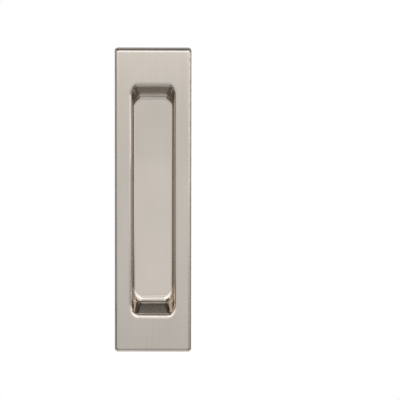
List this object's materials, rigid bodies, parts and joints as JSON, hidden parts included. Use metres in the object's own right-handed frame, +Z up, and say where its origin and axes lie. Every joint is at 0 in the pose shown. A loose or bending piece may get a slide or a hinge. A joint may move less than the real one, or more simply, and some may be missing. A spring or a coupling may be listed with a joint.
{
  "type": "pocket door pull",
  "caption": "Rectangular flush pull for a pocket door: a face plate with rounded edges round a long sunk finger recess with sloped ends, screwed on from behind.",
  "frame": {"origin": "middle of the ring that seats on the door, in the plane of the door's face", "axes": "+Z up the pull along its length, -Y out of the door towards the hand, +Y into the door, X across the pull"},
  "size_m": [0.038, 0.0118, 0.152],
  "materials": {
    "satin_nickel": "satin nickel plate, brushed along its length on the face and polished in the recess"
  },
  "bodies": {
    "root": {"pull_body": "satin_nickel"}
  },
  "joints": []
}
